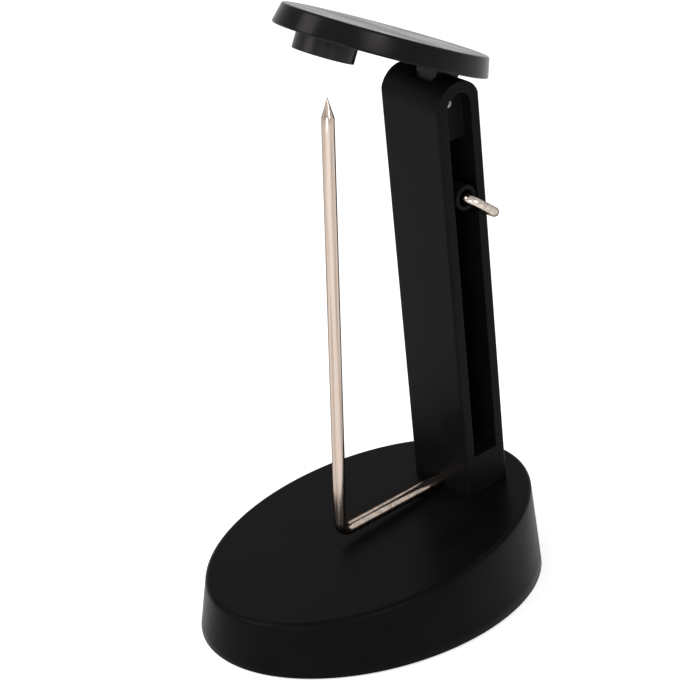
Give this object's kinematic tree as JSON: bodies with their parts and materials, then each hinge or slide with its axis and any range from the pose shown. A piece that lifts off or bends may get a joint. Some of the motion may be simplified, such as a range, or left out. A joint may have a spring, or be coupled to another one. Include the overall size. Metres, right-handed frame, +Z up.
{
  "type": "bill spike",
  "caption": "Desk bill spike: weighted oval base with a sloping top, leaning column with a hanging ring, bent steel wire spike and a hinged oval lid with a cup over the tip.",
  "frame": {"origin": "on the floor under the middle of the oval base", "axes": "+Z up, +Y to the back where the column stands, +X to the right seen from the front"},
  "size_m": [0.0924, 0.13, 0.2116],
  "materials": {
    "satin_black": "fine satin moulded black",
    "ballast_iron": "rough cast grey iron",
    "plate_black": "flat moulded black",
    "screw_steel": "zinc plated steel",
    "foot_rubber": "matt black rubber",
    "column_black": "satin moulded black",
    "spike_steel": "bright drawn nickel plated wire",
    "ring_steel": "bright nickel plated wire",
    "pin_steel": "plain steel",
    "lid_black": "fine satin moulded black",
    "lid_under": "satin moulded black",
    "pad_rubber": "soft black rubber"
  },
  "bodies": {
    "stand": {"base_shell": "satin_black", "ballast": "ballast_iron", "base_plate": "plate_black", "plate_screw_1": "screw_steel", "plate_screw_2": "screw_steel", "plate_screw_3": "screw_steel", "plate_screw_4": "screw_steel", "foot_1": "foot_rubber", "foot_2": "foot_rubber", "foot_3": "foot_rubber", "foot_4": "foot_rubber", "column": "column_black", "column_screw_1": "screw_steel", "column_screw_2": "screw_steel", "spike_wire": "spike_steel", "hinge_pin": "pin_steel"},
    "lid": {"lid_cap": "lid_black", "lid_plate": "lid_under", "guard_pad": "pad_rubber"},
    "ring": {"bail_ring": "ring_steel"}
  },
  "joints": [
    {"name": "lid_hinge", "type": "hinge", "parent": "stand", "child": "lid", "pos_m": [0, 0.0283, 0.1697], "axis": [1, 0, 0], "range_deg": [-65, 20.5]},
    {"name": "ring_swing", "type": "hinge", "parent": "stand", "child": "ring", "pos_m": [0, 0.031, 0.13852], "axis": [1, 0, 0], "range_deg": [0, 80]}
  ]
}
